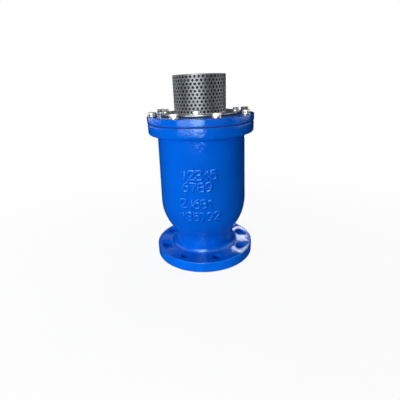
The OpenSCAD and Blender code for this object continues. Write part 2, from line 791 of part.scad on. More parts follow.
// Fork on a round foot that is dished to the ball and welded on
module float_clevis() {
    foot_h = float_stem + fork_base_r - fork_floor;
    color(stainless) translate([float_pin_x, 0, z_float_pin]) difference() {
        union() {
            translate([0, 0, -fork_floor - foot_h]) cylinder(r = fork_base_r, h = foot_h, $fn = small_fn);
            for (side = [-1, 1])
                translate([0, side * (fork_in + fork_out) / 2, 0]) rotate([90, 0, 0])
                    linear_extrude(fork_t, center = true) {
                        circle(r = fork_r, $fn = small_fn);
                        translate([-fork_r, -fork_floor - eps]) square([2 * fork_r, fork_floor + eps]);
                    }
        }
        translate([0, 0, -float_stem - float_r]) sphere(r = float_r + stop_play);
        rotate([90, 0, 0])
            cylinder(r = pin_r + fixed_fit, h = 2 * (fork_out + over), center = true, $fn = small_fn);
    }
}

module float_pin() {
    color(stainless) translate([float_pin_x, 0, z_float_pin]) grooved_pin(fork_out);
}

module float_pin_clips() {
    color(stainless) translate([float_pin_x, 0, z_float_pin]) pin_clips(fork_out);
}

body();
cover_gasket();
cover();
cover_washers();
cover_bolts();
strainer_gasket();
strainer_plate();
strainer_sleeve();
strainer_cap();
strainer_washers();
strainer_screws();
seat_ring();
seat_screws();
guide_rods();
guide_ring();
rod_nuts();
plug();
plug_seal();
seal_retainer();
retainer_screws();
nozzle();
nozzle_nut();
lever_bracket();
bracket_screws();
lever_pin();
lever_pin_clips();
lever();
button_holder();
orifice_button();
holder_nut();
float_ball();
float_clevis();
float_pin();
float_pin_clips();
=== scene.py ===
import math

import bmesh
import bpy
from mathutils import Matrix, Vector


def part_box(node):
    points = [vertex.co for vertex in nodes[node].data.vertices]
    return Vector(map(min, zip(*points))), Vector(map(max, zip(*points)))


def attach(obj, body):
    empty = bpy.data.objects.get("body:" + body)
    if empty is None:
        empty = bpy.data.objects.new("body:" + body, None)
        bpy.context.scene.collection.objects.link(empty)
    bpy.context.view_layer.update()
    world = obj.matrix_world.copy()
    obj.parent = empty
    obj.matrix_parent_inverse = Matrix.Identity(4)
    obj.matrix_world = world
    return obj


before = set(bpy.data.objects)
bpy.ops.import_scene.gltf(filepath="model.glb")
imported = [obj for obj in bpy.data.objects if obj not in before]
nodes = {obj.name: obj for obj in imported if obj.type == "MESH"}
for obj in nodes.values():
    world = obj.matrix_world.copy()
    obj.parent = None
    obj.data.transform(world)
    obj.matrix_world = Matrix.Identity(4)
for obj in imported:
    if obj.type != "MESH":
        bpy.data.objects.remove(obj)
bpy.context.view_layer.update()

# Camera
# It stands where the photo was taken from: in front and a little to the right, level with the strainer.
# It looks down; distance, height and angles come from a pinhole camera fitted to the photo's outlines.
scene = bpy.context.scene
scene.view_settings.view_transform = "Standard"
camera_distance, camera_height, camera_turn = 0.62488, 0.36537, math.radians(6)
pitch, yaw, roll = 0.372, -0.012, -0.039
film_width, lens_length = 36, 26.44
forward = Vector((math.sin(yaw) * math.cos(pitch), math.cos(yaw) * math.cos(pitch), -math.sin(pitch)))
level = Vector((math.cos(yaw), -math.sin(yaw), 0))
upward = level.cross(forward)
axis_x = level * math.cos(roll) + upward * math.sin(roll)
axis_y = upward * math.cos(roll) - level * math.sin(roll)
stand = Matrix((axis_x, axis_y, -forward)).transposed().to_4x4()
stand.translation = (0, -camera_distance, camera_height)
camera = bpy.data.objects.new("camera", bpy.data.cameras.new("camera"))
camera.data.sensor_width = film_width
camera.data.lens = lens_length
camera.matrix_world = Matrix.Rotation(camera_turn, 4, "Z") @ stand
scene.collection.objects.link(camera)
scene.camera = camera


# Body
# One iron casting: drilled inlet flange, neck, bowl, barrel and top flange, sand cast and then machined.
# It is coated with a thick glossy blue epoxy that softens the edges and follows the uneven cast skin.
def add(tree, kind, sockets=None, **settings):
    """Adds a shader node with settings, and with values or links for its input sockets."""
    node = tree.nodes.new(kind)
    for key, value in settings.items():
        setattr(node, key, value)
    for key, value in (sockets or {}).items():
        if isinstance(value, bpy.types.NodeSocket):
            tree.links.new(value, node.inputs[key])
        else:
            node.inputs[key].default_value = value
    return node


def blend(tree, share, first, second):
    """Adds a node that mixes two colours and returns the mixed colour; share 0 is the first, 1 the second."""
    return add(tree, "ShaderNodeMix", {0: share, 6: first, 7: second}, data_type="RGBA").outputs[2]


def shader_group(name, inputs, outputs):
    """Starts a node group with named sockets and returns its tree, its input node and its output node."""
    tree = bpy.data.node_groups.new(name, "ShaderNodeTree")
    for label, kind, value in inputs:
        tree.interface.new_socket(label, in_out="INPUT", socket_type=kind).default_value = value
    for label, kind in outputs:
        tree.interface.new_socket(label, in_out="OUTPUT", socket_type=kind)
    return tree, tree.nodes.new("NodeGroupInput"), tree.nodes.new("NodeGroupOutput")


NUMBER, COLOUR = "NodeSocketFloat", "NodeSocketColor"
white_tone, black_tone = (1, 1, 1, 1), (0, 0, 0, 1)

# Unevenness: height of a surface that waves coarsely and is finely pitted
unevenness, inside, outside = shader_group(
    "unevenness",
    [("Coarse Scale", NUMBER, 60), ("Fine Scale", NUMBER, 500), ("Fine Share", NUMBER, 0.3)],
    [("Height", NUMBER)])
place = add(unevenness, "ShaderNodeTexCoord").outputs["Object"]
coarse = add(unevenness, "ShaderNodeTexNoise",
             {"Vector": place, "Scale": inside.outputs["Coarse Scale"], "Detail": 2, "Roughness": 0.4})
fine = add(unevenness, "ShaderNodeTexNoise",
           {"Vector": place, "Scale": inside.outputs["Fine Scale"], "Detail": 3, "Roughness": 0.5})
both = add(unevenness, "ShaderNodeMix", {"Factor": inside.outputs["Fine Share"],
                                         "A": coarse.outputs["Fac"], "B": fine.outputs["Fac"]})
unevenness.links.new(both.outputs["Result"], outside.inputs["Height"])

# Mottle: patches of a second tone in a colour
mottle, inside, outside = shader_group(
    "mottle",
    [("Color", COLOUR, white_tone), ("Tone", COLOUR, black_tone),
     ("Scale", NUMBER, 20), ("Amount", NUMBER, 0.5)],
    [("Color", COLOUR)])
place = add(mottle, "ShaderNodeTexCoord").outputs["Object"]
cloud = add(mottle, "ShaderNodeTexNoise",
            {"Vector": place, "Scale": inside.outputs["Scale"], "Detail": 5, "Roughness": 0.6})
patch = add(mottle, "ShaderNodeMapRange", {"Value": cloud.outputs["Fac"], "From Min": 0.38, "From Max": 0.68,
                                           "To Max": inside.outputs["Amount"]})
tinted = blend(mottle, patch.outputs["Result"], inside.outputs["Color"], inside.outputs["Tone"])
mottle.links.new(tinted, outside.inputs["Color"])

# Handled: roughness that drifts between two values, as on a piece that was wiped and handled
handled, inside, outside = shader_group(
    "handled",
    [("Smooth", NUMBER, 0.2), ("Rough", NUMBER, 0.4), ("Scale", NUMBER, 40)],
    [("Roughness", NUMBER)])
place = add(handled, "ShaderNodeTexCoord").outputs["Object"]
smear = add(handled, "ShaderNodeTexNoise", {"Vector": place, "Scale": inside.outputs["Scale"], "Detail": 6,
                                            "Roughness": 0.65, "Distortion": 0.6})
drift = add(handled, "ShaderNodeMapRange",
            {"Value": smear.outputs["Fac"], "From Min": 0.35, "From Max": 0.65,
             "To Min": inside.outputs["Smooth"], "To Max": inside.outputs["Rough"]})
handled.links.new(drift.outputs["Result"], outside.inputs["Roughness"])

# Worn edges: a second colour where an edge has been rubbed, broken up into short lengths
worn_edges, inside, outside = shader_group(
    "worn_edges",
    [("Color", COLOUR, white_tone), ("Bare", COLOUR, white_tone),
     ("Width", NUMBER, 0.001), ("Amount", NUMBER, 0.5)],
    [("Color", COLOUR)])
softened = add(worn_edges, "ShaderNodeBevel", {"Radius": inside.outputs["Width"]}, samples=4)
facing = add(worn_edges, "ShaderNodeNewGeometry").outputs["Normal"]
along = add(worn_edges, "ShaderNodeVectorMath", {0: softened.outputs["Normal"], 1: facing},
            operation="DOT_PRODUCT")
rubbed = add(worn_edges, "ShaderNodeMapRange",
             {"Value": along.outputs["Value"], "From Min": 0.985, "From Max": 0.86})
place = add(worn_edges, "ShaderNodeTexCoord").outputs["Object"]
lengths = add(worn_edges, "ShaderNodeTexNoise", {"Vector": place, "Scale": 150, "Detail": 4})
broken = add(worn_edges, "ShaderNodeMapRange",
             {"Value": lengths.outputs["Fac"], "From Min": 0.40, "From Max": 0.60,
              "To Max": inside.outputs["Amount"]})
share = add(worn_edges, "ShaderNodeMath", {0: rubbed.outputs["Result"], 1: broken.outputs["Result"]},
            operation="MULTIPLY")
shown = blend(worn_edges, share.outputs[0], inside.outputs["Color"], inside.outputs["Bare"])
worn_edges.links.new(shown, outside.inputs["Color"])


def finish(name, colour, tone, patches, gloss, skin, worn=None, **constants):
    """Material from the groups: a mottled colour, worn edges, drifting roughness and an uneven skin.

    patches: scale and share of the second tone; gloss: least and most roughness; skin: coarse scale, fine
    scale, share of the fine one, strength and depth; worn: colour, width and share of the rubbed edges.
    """
    made = bpy.data.materials.new(name)
    made.use_nodes = True
    tree = made.node_tree
    shader = tree.nodes["Principled BSDF"]
    tint = add(tree, "ShaderNodeGroup", node_tree=mottle)
    tint.inputs["Color"].default_value = (*colour, 1)
    tint.inputs["Tone"].default_value = (*tone, 1)
    tint.inputs["Scale"].default_value, tint.inputs["Amount"].default_value = patches
    sheen = add(tree, "ShaderNodeGroup", node_tree=handled)
    sheen.inputs["Smooth"].default_value, sheen.inputs["Rough"].default_value = gloss
    sheen.inputs["Scale"].default_value = 2 * patches[0]
    waves = add(tree, "ShaderNodeGroup", node_tree=unevenness)
    coarse_scale, fine_scale, fine_share, strength, depth = skin
    waves.inputs["Coarse Scale"].default_value = coarse_scale
    waves.inputs["Fine Scale"].default_value = fine_scale
    waves.inputs["Fine Share"].default_value = fine_share
    bump = add(tree, "ShaderNodeBump",
               {"Height": waves.outputs["Height"], "Strength": strength, "Distance": depth})
    if worn:
        edges = add(tree, "ShaderNodeGroup", {"Color": tint.outputs["Color"]}, node_tree=worn_edges)
        edges.inputs["Bare"].default_value = (*worn[0], 1)
        edges.inputs["Width"].default_value, edges.inputs["Amount"].default_value = worn[1:]
        tint = edges
    tree.links.new(tint.outputs["Color"], shader.inputs["Base Color"])
    tree.links.new(sheen.outputs["Roughness"], shader.inputs["Roughness"])
    tree.links.new(bump.outputs["Normal"], shader.inputs["Normal"])
    for key, value in constants.items():
        shader.inputs[key.replace("_", " ")].default_value = value
    return made


def dress(names, made, bevel=0):
    """Gives CAD nodes a material, rounds their sharp edges and shades their curved faces smoothly."""
    crease_angle, weld_reach, bevel_steps = math.radians(35), 2e-6, 2
    for name in names:
        piece = nodes[name]
        piece.data.materials.clear()
        piece.data.materials.append(made)
        piece.data.polygons.foreach_set("use_smooth", [True] * len(piece.data.polygons))
        if "custom_normal" in piece.data.attributes:
            piece.data.attributes.remove(piece.data.attributes["custom_normal"])
        piece.modifiers.new("weld", "WELD").merge_threshold = weld_reach
        if bevel:
            edge = piece.modifiers.new("edge", "BEVEL")
            edge.width, edge.segments = bevel, bevel_steps
            edge.limit_method, edge.angle_limit = "ANGLE", crease_angle
        split = piece.modifiers.new("crease", "EDGE_SPLIT")
        split.split_angle = crease_angle
        split.use_edge_sharp = False


epoxy_blue, epoxy_shade, epoxy_patches = (0.0, 0.122, 0.70), (0.0, 0.096, 0.58), (16, 0.5)
epoxy_gleam = (0.72, 1.0, 0.95, 1)
blue_epoxy = finish("blue_epoxy", epoxy_blue, epoxy_shade, epoxy_patches,
                    gloss=(0.06, 0.11), skin=(75, 260, 0.5, 0.65, 0.0010),
                    worn=((0.02, 0.18, 0.76), 0.0010, 0.5), Specular_Tint=epoxy_gleam)
dress(["body"], blue_epoxy, bevel=0.0006)

# Cast figures
# Four rows of plain raised figures on the barrel's front, cast with the body from a pattern with round
# strokes. They follow the barrel and the upper bowl, and the paint lies over them.
neck_top, cone_low, cone_high = 0.049, 0.06522, 0.07819
bowl_top, barrel_top = 0.131236, 0.270736
neck_r, neck_curve_r = 0.066, 0.0315
cone_low_r, cone_slope = 0.0705, math.tan(math.radians(31))
bowl_curve_r, bowl_curve_inset = 0.103, 0.010
barrel_r, barrel_draft = bowl_curve_r - bowl_curve_inset, 0.0029


def casting_radius(z):
    """Outside radius of the body at a height between the inlet flange and the top flange."""
    if z < neck_top:
        return neck_r
    if z < cone_low:
        return neck_r + neck_curve_r - math.sqrt(neck_curve_r ** 2 - (z - neck_top) ** 2)
    if z < cone_high:
        return cone_low_r + (z - cone_low) * cone_slope
    if z < bowl_top:
        return math.sqrt(bowl_curve_r ** 2 - (bowl_top - z) ** 2) - bowl_curve_inset
    return barrel_r - barrel_draft * (z - bowl_top) / (barrel_top - bowl_top)


def on_barrel(x, z, lift):
    """Point on the casting, x along its girth from the front and lift outwards."""
    radius = casting_radius(z)
    turn = x / radius
    return ((radius + lift) * math.sin(turn), -(radius + lift) * math.cos(turn), z)


def rounded(points, rounds=2):
    """Cuts the corners of an open line, which turns it into a smooth curve."""
    for _ in range(rounds):
        cut = [points[0]]
        for (ax, ay), (bx, by) in zip(points, points[1:]):
            cut += [(0.75 * ax + 0.25 * bx, 0.75 * ay + 0.25 * by),
                    (0.25 * ax + 0.75 * bx, 0.25 * ay + 0.75 * by)]
        points = cut + [points[-1]]
    return points


# Strokes of each figure in a box 0.62 wide and 1 high; curved ones are given to rounded()
figure_strokes = {
    "1": [[(0.10, 0.78), (0.34, 1.0), (0.34, 0.0)]],
    "2": [rounded([(0.02, 0.74), (0.06, 0.98), (0.31, 1.03), (0.60, 0.97), (0.62, 0.66), (0.30, 0.34),
                   (0.0, 0.0)]),
          [(0.0, 0.0), (0.62, 0.0)]],
    "3": [rounded([(0.0, 0.80), (0.06, 1.02), (0.56, 1.02), (0.62, 0.56), (0.24, 0.54)]),
          rounded([(0.24, 0.54), (0.66, 0.52), (0.66, 0.0), (0.08, -0.04), (0.0, 0.22)])],
    "4": [[(0.46, 0.0), (0.46, 1.0), (0.0, 0.30), (0.62, 0.30)]],
    "5": [[(0.56, 1.0), (0.10, 1.0), (0.06, 0.55)],
          rounded([(0.06, 0.55), (0.30, 0.68), (0.64, 0.60), (0.64, 0.0), (0.12, -0.04), (0.0, 0.18)])],
    "6": [rounded([(0.50, 1.0), (0.20, 0.86), (0.0, 0.50), (0.0, 0.0), (0.62, -0.04), (0.66, 0.56),
                   (0.14, 0.68), (0.03, 0.36)])],
    "7": [[(0.0, 1.0), (0.62, 1.0), (0.22, 0.0)]],
    "8": [rounded([(0.31, 0.54), (0.02, 0.58), (0.02, 1.0), (0.60, 1.0), (0.60, 0.58), (0.31, 0.54)]),
          rounded([(0.31, 0.54), (-0.02, 0.50), (-0.02, 0.0), (0.64, 0.0), (0.64, 0.50), (0.31, 0.54)])],
    "9": [rounded([(0.12, 0.0), (0.42, 0.14), (0.62, 0.50), (0.62, 1.0), (0.0, 1.04), (-0.04, 0.44),
                   (0.48, 0.32), (0.59, 0.64)])],
}


def raised_stroke(mesh, line, half_width, height, onto):
    """Adds a half-round bead with round ends along a flat line; onto(x, y, lift) puts a point on a surface.

    Its root lies below the surface. ends: size and reach of the rings that close an end, as shares.
    """
    steps, root = 7, -0.0006
    spots = [Vector(p) for p in line]
    runs = []
    for i, spot in enumerate(spots):
        run = (spots[min(i + 1, len(spots) - 1)] - spots[max(i - 1, 0)]).normalized()
        runs.append((spot, run, 1.0))
    ends = [(0.97, 0.25), (0.78, 0.62), (0.45, 0.9)]
    first, last = runs[0], runs[-1]
    runs = ([(first[0] - first[1] * half_width * out, first[1], size) for size, out in reversed(ends)] + runs
            + [(last[0] + last[1] * half_width * out, last[1], size) for size, out in ends])
    rings = []
    for spot, run, size in runs:
        side = Vector((-run.y, run.x))
        ring = []
        for k in range(steps):
            turn = math.pi * k / (steps - 1)
            edge = spot + side * half_width * size * math.cos(turn)
            lift = height * size * math.sin(turn) ** 0.5 if 0 < k < steps - 1 else root
            ring.append(mesh.verts.new(onto(edge.x, edge.y, lift)))
        rings.append(ring)
    for a, b in zip(rings, rings[1:]):
        for k in range(steps - 1):
            mesh.faces.new((a[k], a[k + 1], b[k + 1], b[k]))
    mesh.faces.new(rings[0])
    mesh.faces.new(list(reversed(rings[-1])))


def piece_from(mesh, name, made, body):
    """Turns a bmesh into a smooth piece with a material and the body it rides on."""
    bmesh.ops.recalc_face_normals(mesh, faces=mesh.faces)
    data = bpy.data.meshes.new(name)
    mesh.to_mesh(data)
    mesh.free()
    data.polygons.foreach_set("use_smooth", [True] * len(data.polygons))
    data.materials.append(made)
    piece = bpy.data.objects.new(name, data)
    scene.collection.objects.link(piece)
    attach(piece, body)
    return piece


# Painted light and shade: a colour lighter on sides that face up and left and darker on sides that face away,
# as if lit from above and left
painted_light_and_shade, inside, outside = shader_group(
    "painted_light_and_shade",
    [("Color", COLOUR, white_tone), ("Light", COLOUR, white_tone), ("Dark", COLOUR, black_tone)],
    [("Color", COLOUR)])
up_and_left = (-0.45, 0.0, 0.89)
facing = add(painted_light_and_shade, "ShaderNodeNewGeometry").outputs["Normal"]
upwards = add(painted_light_and_shade, "ShaderNodeVectorMath", {0: facing, 1: up_and_left},
              operation="DOT_PRODUCT").outputs["Value"]
lighter = add(painted_light_and_shade, "ShaderNodeMapRange", {"Value": upwards, "From Min": 0.10, "From Max": 0.60})
darker = add(painted_light_and_shade, "ShaderNodeMapRange", {"Value": upwards, "From Min": -0.10, "From Max": -0.60})
upper_side = blend(painted_light_and_shade, lighter.outputs["Result"], inside.outputs["Color"], inside.outputs["Light"])
all_sides = blend(painted_light_and_shade, darker.outputs["Result"], upper_side, inside.outputs["Dark"])
painted_light_and_shade.links.new(all_sides, outside.inputs["Color"])

figure_epoxy = finish("figure_epoxy", epoxy_blue, epoxy_shade, epoxy_patches,
                      gloss=(0.10, 0.18), skin=(75, 260, 0.5, 0.5, 0.0008), Specular_Tint=epoxy_gleam)
# Painted light and shade on the figures: lighter blue on sides that face up and left, darker blue on sides
# that face away
tree = figure_epoxy.node_tree
base_colour = tree.nodes["Principled BSDF"].inputs["Base Color"]
sides = add(tree, "ShaderNodeGroup", {"Color": base_colour.links[0].from_socket}, node_tree=painted_light_and_shade)
sides.inputs["Light"].default_value = (0.02, 0.26, 0.95, 1)
sides.inputs["Dark"].default_value = (0.0, 0.055, 0.42, 1)
tree.links.new(sides.outputs["Color"], base_colour)

# Each row: its figures, the height of its middle, its shift to the right and the pitch of its figures
figure_rows = [("12345", 0.2065, 0.0014, 0.0142), ("6789", 0.1825, -0.0014, 0.0155),
               ("24681", 0.1485, -0.0040, 0.0136), ("135792", 0.1205, 0.0008, 0.0140)]
figure_height, figure_lead = 0.0175, 0.16
stroke_half_width, stroke_height = 0.0022, 0.0024
for number, (figures, row_z, row_shift, figure_pitch) in enumerate(figure_rows, 1):
    relief = bmesh.new()
    row_left = row_shift - figure_pitch * len(figures) / 2
    for i, figure in enumerate(figures):
        left = row_left + figure_pitch * (i + figure_lead)
        for stroke in figure_strokes[figure]:
            line = [(left + x * figure_height, row_z + (y - 0.5) * figure_height) for x, y in stroke]
            raised_stroke(relief, line, stroke_half_width, stroke_height, on_barrel)
    piece_from(relief, "cast_figures_%d" % number, figure_epoxy, "valve")

# Parting lines
# Low ridges down both sides of the body, where the halves of the sand mould met.
# The paint lies over them; they stop short of the two flanges.
flange_top, ridge_start = 0.025, 0.012
ridge_low, ridge_step, ridge_points = flange_top + ridge_start, 0.0035, 67
ridge_half_width, ridge_height = 0.0011, 0.00045
for side, name in ((-1, "parting_line_left"), (1, "parting_line_right")):
    ridge = bmesh.new()
    raised_stroke(ridge, [(0, ridge_low + i * ridge_step) for i in range(ridge_points)],
                  ridge_half_width, ridge_height,
                  lambda x, z, lift: (side * (casting_radius(z) + lift), x, z))
    piece_from(ridge, name, blue_epoxy, "valve")

# Cover gasket
# Fibre sheet cut to a ring with bolt holes, clamped between the body's top flange and the cover.
# Only its dark edge shows, set back in the joint.
gasket_sheet = finish("gasket_sheet", (0.006, 0.024, 0.075), (0.012, 0.030, 0.070), patches=(90, 0.6),
                      gloss=(0.75, 0.95), skin=(300, 1500, 0.5, 0.5, 0.0003))
dress(["cover_gasket"], gasket_sheet)

# Cover
# Cast iron disc with a locating spigot, machined below for the seat ring and coated like the body.
# Eight bolts round its edge hold it down.
dress(["cover"], blue_epoxy, bevel=0.0004)

# Seat ring
# Turned stainless ring with a raised sealing lip, let into the cover from below.
# Four countersunk screws hold it; they are zinc plated like the other fasteners.
turned_steel = finish("turned_steel", (0.60, 0.60, 0.61), (0.48, 0.47, 0.46), patches=(45, 0.5),
                      gloss=(0.16, 0.30), skin=(180, 1600, 0.6, 0.25, 0.0002), Metallic=1.0)
zinc_plate = finish("zinc_plate", (0.70, 0.68, 0.63), (0.52, 0.42, 0.28), patches=(70, 0.6),
                    gloss=(0.22, 0.40), skin=(220, 1500, 0.5, 0.3, 0.0002),
                    worn=((0.82, 0.81, 0.79), 0.0005, 0.7), Metallic=1.0)
dress(["seat_ring"], turned_steel)
dress(["seat_screws"], zinc_plate)

# Guide rods
# Four turned stainless rods with shoulders, screwed into the cover and locked with nuts.
# A flat stainless ring ties their lower ends together above the bowl.
dress(["guide_rods", "guide_ring"], turned_steel)
dress(["rod_nuts"], zinc_plate)

# Plug
# Moulded dark disc with four ears that slide on the rods, closing the large outlet when the valve fills.
# A stainless disc and four screws clamp its black rubber seal.
moulding = finish("moulding", (0.030, 0.032, 0.036), (0.045, 0.046, 0.050), patches=(60, 0.6),
                  gloss=(0.42, 0.58), skin=(250, 1400, 0.6, 0.3, 0.0002))
rubber = finish("rubber", (0.016, 0.016, 0.017), (0.030, 0.030, 0.031), patches=(80, 0.7),
                gloss=(0.68, 0.85), skin=(400, 2200, 0.6, 0.4, 0.0002))
dress(["plug"], moulding)
dress(["plug_seal"], rubber)
dress(["seal_retainer"], turned_steel)
dress(["retainer_screws"], zinc_plate)

# Small orifice
# Turned brass nozzle screwed through the plug, which vents small amounts of air while the plug is closed.
# A zinc-plated nut on top locks it.
brass = finish("brass", (0.71, 0.50, 0.21), (0.46, 0.33, 0.16), patches=(55, 0.6),
               gloss=(0.20, 0.38), skin=(200, 1500, 0.5, 0.3, 0.0002), Metallic=1.0)
dress(["nozzle"], brass)
dress(["nozzle_nut"], zinc_plate)

# Lever
# Brass lever on a pin in a bent stainless bracket under the plug.
# A turned cup on it holds the rubber button that closes the nozzle.
dress(["lever_bracket", "lever_pin", "lever_pin_clips"], turned_steel)
dress(["bracket_screws", "holder_nut"], zinc_plate)
dress(["lever", "button_holder"], brass)
dress(["orifice_button"], rubber)


# Float
# Hollow ball pressed from stainless sheet in two halves, hung from the lever by a fork and a pin.
# A seam weld joins the halves, and a bead joins the fork's foot to the ball.
def ring_bead(name, centre, radius, half_width, height, ripple, body, slope=0.0):
    """Welded bead round a vertical axis, rippled along its run; slope tips its crown up from outwards."""
    bead = bmesh.new()
    count, steps = 360, 9
    short_waves, long_waves, long_share, long_start = 60, 17, 0.5, 1.3
    rings = []
    for i in range(count):
        turn = 2 * math.pi * i / count
        long_wave = long_share * ripple * math.sin(long_waves * turn + long_start)
        swell = 1 + ripple * math.sin(short_waves * turn) + long_wave
        ring = []
        for k in range(steps):
            bend = math.pi * k / (steps - 1) - math.pi / 2
            out = height * swell * math.cos(bend)
            along = half_width * swell * math.sin(bend)
            r = radius + out * math.cos(slope) - along * math.sin(slope)
            z = centre.z + out * math.sin(slope) + along * math.cos(slope)
            ring.append(bead.verts.new((centre.x + r * math.cos(turn), centre.y + r * math.sin(turn), z)))
        rings.append(ring)
    for a, b in zip(rings, rings[1:] + rings[:1]):
        for k in range(steps):
            bead.faces.new((a[k], b[k], b[(k + 1) % steps], a[(k + 1) % steps]))
    return piece_from(bead, name, weld_steel, body)


weld_steel = finish("weld_steel", (0.46, 0.45, 0.44), (0.30, 0.25, 0.20), patches=(120, 0.7),
                    gloss=(0.25, 0.45), skin=(300, 1800, 0.5, 0.3, 0.0002), Metallic=1.0)
weld_root, weld_ripple = 0.0002, 0.12
dress(["float_ball", "float_clevis", "float_pin", "float_pin_clips"], turned_steel)
ball_low, ball_high = (Vector(corner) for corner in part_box("float_ball"))
ball_centre = (ball_low + ball_high) / 2
ball_radius = (ball_high.x - ball_low.x) / 2
ring_bead("float_seam", ball_centre, ball_radius - weld_root, half_width=0.0018, height=0.0007,
          ripple=weld_ripple, body="float")
foot_low, foot_high = (Vector(corner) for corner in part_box("float_clevis"))
foot_radius = (foot_high.y - foot_low.y) / 2
foot_z = ball_centre.z + math.sqrt(ball_radius ** 2 - foot_radius ** 2)
ring_bead("fork_weld", Vector((ball_centre.x, ball_centre.y, foot_z)), foot_radius - weld_root,
          half_width=0.0014, height=0.0010, ripple=weld_ripple, body="float",
          slope=math.radians(35))

# Cover bolts
# Eight zinc-plated hex bolts on split spring washers hold the cover to the body.
# Their plating has a slight straw tint.
dress(["cover_bolts"], zinc_plate, bevel=0.0004)
dress(["cover_washers"], zinc_plate, bevel=0.0002)

# Strainer
# Perforated stainless sheet rolled into a sleeve, with a flat perforated lid and a base plate on a gasket.
# Four small screws with flat washers hold the plate, a thin bead welds the sleeve to it, and a fine wire
# screen lines the sleeve; its near-black colour is partly dark wire and partly painted shade for the inside.
strainer_steel = finish("strainer_steel", (0.205, 0.210, 0.222), (0.135, 0.140, 0.150), patches=(38, 0.6),
                        gloss=(0.42, 0.54), skin=(150, 1300, 0.5, 0.25, 0.0002),
                        worn=((0.32, 0.33, 0.34), 0.0005, 0.5), Metallic=0.9)
plate_steel = finish("plate_steel", (0.40, 0.41, 0.42), (0.30, 0.30, 0.30), patches=(30, 0.5),
                     gloss=(0.26, 0.40), skin=(150, 1300, 0.5, 0.2, 0.0002), Metallic=1.0)
dress(["strainer_gasket"], gasket_sheet)
dress(["strainer_plate"], plate_steel, bevel=0.0003)
dress(["strainer_sleeve", "strainer_cap"], strainer_steel)
dress(["strainer_washers"], zinc_plate, bevel=0.0002)
dress(["strainer_screws"], zinc_plate, bevel=0.0003)

sleeve_low, sleeve_high = (Vector(corner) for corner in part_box("strainer_sleeve"))
liner_inset, liner_end_gap, liner_sides = 0.0021, 0.0002, 120
liner_radius = sleeve_high.x - liner_inset
liner = bmesh.new()
liner_turns = [2 * math.pi * i / liner_sides for i in range(liner_sides)]
rims = [[liner.verts.new((liner_radius * math.cos(turn), liner_radius * math.sin(turn), z))
         for turn in liner_turns] for z in (sleeve_low.z + liner_end_gap, sleeve_high.z - liner_end_gap)]
for i in range(liner_sides):
    liner.faces.new((rims[0][i], rims[0][i - 1], rims[1][i - 1], rims[1][i]))
# Near-black screen: partly the dark wire and partly painted shade for the dark inside seen through the holes
wire_mesh = finish("wire_mesh", (0.004, 0.004, 0.005), (0.002, 0.002, 0.003), patches=(60, 0.5),
                   gloss=(0.70, 0.85), skin=(150, 1300, 0.5, 0.2, 0.0001), Metallic=0.0)
liner_wires, wire_edge = 260, -0.35
tree = wire_mesh.node_tree
spot = add(tree, "ShaderNodeSeparateXYZ", {0: add(tree, "ShaderNodeTexCoord").outputs["Object"]}).outputs
around = add(tree, "ShaderNodeMath", {0: spot["Y"], 1: spot["X"]}, operation="ARCTAN2")
upright = add(tree, "ShaderNodeMath", {0: around.outputs[0], 1: liner_wires}, operation="MULTIPLY")
crosswise = add(tree, "ShaderNodeMath", {0: spot["Z"], 1: liner_wires / liner_radius}, operation="MULTIPLY")
wires = [add(tree, "ShaderNodeMath", {0: run.outputs[0]}, operation="SINE").outputs[0]
         for run in (upright, crosswise)]
crossed = add(tree, "ShaderNodeMath", {0: wires[0], 1: wires[1]}, operation="MAXIMUM")
closed = add(tree, "ShaderNodeMath", {0: crossed.outputs[0], 1: wire_edge}, operation="GREATER_THAN")
tree.links.new(closed.outputs[0], tree.nodes["Principled BSDF"].inputs["Alpha"])
piece_from(liner, "strainer_liner", wire_mesh, "valve")
sleeve_weld_root = 0.0001
ring_bead("sleeve_weld", Vector((0, 0, sleeve_low.z + sleeve_weld_root)), sleeve_high.x - sleeve_weld_root,
          half_width=0.0011, height=0.0009, ripple=0.10, body="valve",
          slope=math.radians(45))


# Studio
# Pale floor and white surroundings; a broad lamp to the left of the camera lights the valve like a window,
# with weaker ones on the left, above, behind and at the foot flange's rim. Dark blue screens all round,
# seen only in reflections, keep paint and metal deep in colour, and bright panes give the gleams.
def seen_directly(tree):
    """1 for rays from the camera, and for rays that a mirror or glass turns; 0 for scattered light."""
    rays = add(tree, "ShaderNodeLightPath").outputs
    shiny = add(tree, "ShaderNodeMath", {0: rays["Is Glossy Ray"], 1: rays["Is Transmission Ray"]},
                operation="MAXIMUM")
    either = add(tree, "ShaderNodeMath", {0: rays["Is Camera Ray"], 1: shiny.outputs[0]}, operation="MAXIMUM")
    return either.outputs[0]


def stage_sheet(name, corners, made):
    """Flat or folded sheet of the studio, from rows of corners."""
    sheet = bmesh.new()
    rows = [[sheet.verts.new(c) for c in row] for row in corners]
    for a, b in zip(rows, rows[1:]):
        for k in range(len(a) - 1):
            sheet.faces.new((a[k], a[k + 1], b[k + 1], b[k]))
    data = bpy.data.meshes.new(name)
    sheet.to_mesh(data)
    sheet.free()
    data.materials.append(made)
    piece = bpy.data.objects.new(name, data)
    scene.collection.objects.link(piece)
    return piece


def stage_material(name):
    """Material of the studio with an empty node tree, and that tree."""
    made = bpy.data.materials.new(name)
    made.use_nodes = True
    made.node_tree.nodes.clear()
    return made, made.node_tree


# The surroundings are white where they are seen, and light the valve only weakly
world = bpy.data.worlds.new("studio")
scene.world = world
world.use_nodes = True
tree = world.node_tree
tree.nodes.clear()
lit = add(tree, "ShaderNodeBackground", {"Color": (0.92, 0.96, 1.0, 1), "Strength": 0.06})
white = add(tree, "ShaderNodeBackground", {"Color": white_tone, "Strength": 1.0})
sky = add(tree, "ShaderNodeMixShader", {0: seen_directly(tree), 1: lit.outputs[0], 2: white.outputs[0]})
add(tree, "ShaderNodeOutputWorld", {"Surface": sky.outputs[0]})

